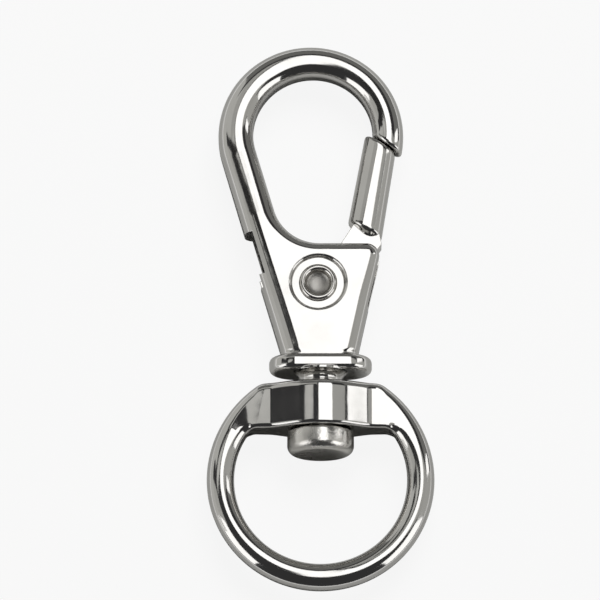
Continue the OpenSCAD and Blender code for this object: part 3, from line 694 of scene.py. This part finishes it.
rows = np.concatenate([corner, bar, mirrored(corner), wire])
grid = skin(rows) + (lift + [*ring_mid, 0])
eye_ring = solid("eye_ring", grid, grid_faces(*grid.shape[:2], closed=True))
join(eye_ring, [turned("cut", rod(stud_d / 2 + turn_play, 2, -9), lift, "y")], "DIFFERENCE")
smooth(eye_ring)
dress(eye_ring, cast_nickel, "ring", "ring")


# The table and the studio: a pale table top, a soft lamp, and round them white softboxes and
# grey boards of their own light, which only the polished metal sees.
def board(name, centre, right, up, colour, glow=0.0, paper=0.0):
    """A flat board: its four corners lie right and up from the centre, both ways. One that
    glows is seen by the polished metal alone. On the table, paper is the share of white in what
    the camera and the metal see; within 9 cm of the metal it gives way to the grey table with its
    real shadow, so close round itself the metal sees painted shade."""
    centre, right, up = (np.asarray(v, float) for v in (centre, right, up))
    corners = [centre - right - up, centre + right - up, centre + right + up, centre - right + up]
    mesh = bpy.data.meshes.new(name)
    mesh.from_pydata([c.tolist() for c in corners], [], [[0, 1, 2, 3]])
    obj = bpy.data.objects.new(name, mesh)
    bpy.context.scene.collection.objects.link(obj)
    made = bpy.data.materials.new(name)
    made.use_nodes = True
    tree = made.node_tree
    tree.nodes.clear()
    if paper:
        lit = add(tree, "ShaderNodeBsdfDiffuse", Color=linear(colour))
        white = add(tree, "ShaderNodeEmission", Color=linear("#FFFFFF"), Strength=1.0)
        rays = add(tree, "ShaderNodeLightPath").outputs
        seen = add(tree, "ShaderNodeMath", {"operation": "ADD"},
                   i0=rays["Is Camera Ray"], i1=rays["Is Glossy Ray"])
        seen = add(tree, "ShaderNodeMath", {"operation": "ADD", "use_clamp": True},
                   i0=seen.outputs[0], i1=rays["Is Transmission Ray"])
        # Painted shade: by ray length, the metal sees the grey table, darker than the white,
        # close round itself
        near = add(tree, "ShaderNodeMapRange", {"interpolation_type": "SMOOTHSTEP"},
                   Value=rays["Ray Length"], From_Min=0.004, From_Max=0.09, To_Min=0.0,
                   To_Max=paper)
        share = add(tree, "ShaderNodeMath", {"operation": "MULTIPLY"},
                    i0=seen.outputs[0], i1=near.outputs[0])
        face = add(tree, "ShaderNodeMixShader", i0=share.outputs[0], i1=lit.outputs[0],
                   i2=white.outputs[0])
    else:
        face = add(tree, "ShaderNodeEmission", Color=linear(colour), Strength=glow)
        obj.visible_camera = obj.visible_shadow = obj.visible_diffuse = False
    add(tree, "ShaderNodeOutputMaterial", Surface=face.outputs[0])
    obj.data.materials.append(made)


board("table", (0, 0, 0), (1.5, 0, 0), (0, 1.5, 0), "#B4B4B2", paper=0.9)
# Overhead: a white softbox, with grey boards beside it that the rounded edges mirror. The
# small one on the left is what the left wing of the ring's bar mirrors
board("overhead_softbox", (0.1, 0.19, 0.6), (0.138, 0, 0), (0, 0.3, 0), "#FFFFFF", 1.7)
board("upper_left_board", (-0.2, 0.361, 0.6), (0.13, -0.009, 0), (0, 0.18, 0), "#B4B4B1", 1.0)
board("bar_board", (-0.24, 0.15, 0.599), (0.1, 0.028, 0), (0, 0.04, 0), "#D2D2CF", 1.0)
board("far_left_board", (-0.465, 0.3875, 0.6), (0.135, -0.0225, 0), (0, 0.175, 0), "#C8C8C5", 1.0)
board("upper_right_board", (0.425, 0.08, 0.6), (0.187, 0, 0), (0, 0.14, 0), "#B4B4B1", 1.0)
# On the right: a tall narrow softbox between a grey board and a darker one, and a wide softbox
# at the ring's end
board("right_softbox", (0.42, 0.14, 0.23), (0, 0.035, 0), (0, 0, 0.13), "#FFFFFF", 1.6)
board("right_low_board", (0.42, 0.01, 0.225), (0, 0.095, 0), (0, 0, 0.225), "#B8B8B5", 1.0)
board("right_dim_board", (0.42, 0.38, 0.2), (0, 0.205, 0), (0, 0, 0.2), "#7A7A78", 1.0)
board("right_front_softbox", (0.42, -0.2725, 0.26), (0, 0.1825, 0), (0, 0, 0.22), "#FFFFFF", 1.6)
# On the left: a long low board, two above it with a dark gap between them, and a softbox like
# the right one at the ring's end. A dark board stands behind the bow
board("left_low_board", (-0.42, 0.22, 0.11), (0, 0.38, 0), (0, 0, 0.11), "#C8C8C5", 1.0)
board("left_near_board", (-0.42, 0.005, 0.42), (0, 0.08, 0), (0, 0, 0.2), "#BCBCB9", 1.0)
board("left_far_board", (-0.42, 0.38, 0.34), (0, 0.215, 0), (0, 0, 0.12), "#C8C8C5", 1.0)
board("left_front_softbox", (-0.42, -0.2675, 0.26), (0, 0.1875, 0), (0, 0, 0.22), "#FFFFFF", 1.6)
board("back_board", (0, 0.6, 0.25), (0.6, 0, 0), (0, 0, 0.22), "#767674", 1.0)
# Close to the hook, a black flag beside the limb
board("limb_flag", (-0.07, 0.048, 0.15), (0.05, 0, 0), (0, 0.012, 0), "#303030", 1.0)

lamp = bpy.data.objects.new("soft_lamp", bpy.data.lights.new("soft_lamp", "AREA"))
lamp.data.shape, lamp.data.size, lamp.data.energy = "SQUARE", 0.5, 6.8
lamp_x, lamp_y, lamp_z = 0.12, 0.38, 0.65
lamp.location = (lamp_x, lamp_y, lamp_z)
lamp.rotation_euler = (-math.atan2(lamp_y, lamp_z), math.atan2(lamp_x, lamp_z), 0)
lamp.visible_glossy = False
bpy.context.scene.collection.objects.link(lamp)

world = bpy.context.scene.world or bpy.data.worlds.new("studio")
bpy.context.scene.world = world
world.use_nodes = True
world.node_tree.nodes.clear()
sky = add(world.node_tree, "ShaderNodeBackground", Color=linear("#3A3A3B"), Strength=1.0)
add(world.node_tree, "ShaderNodeOutputWorld", Surface=sky.outputs[0])

# The camera looks down at 75 degrees from the ring's end. It sees 75 mm on a film 36 mm wide,
# which is 8 pixels to the millimetre
distance, tilt, film, seen = 1.0, math.radians(75), 36, 0.075
aim = np.array([-0.00256, 0.0023, 0.0045])
camera = bpy.data.objects.new("camera", bpy.data.cameras.new("camera"))
camera.data.lens = film * distance / seen
camera.location = aim + distance * np.array([0, -math.cos(tilt), math.sin(tilt)])
camera.rotation_euler = (math.pi / 2 - tilt, 0, 0)
bpy.context.scene.collection.objects.link(camera)
bpy.context.scene.camera = camera
bpy.context.scene.view_settings.view_transform = "Standard"
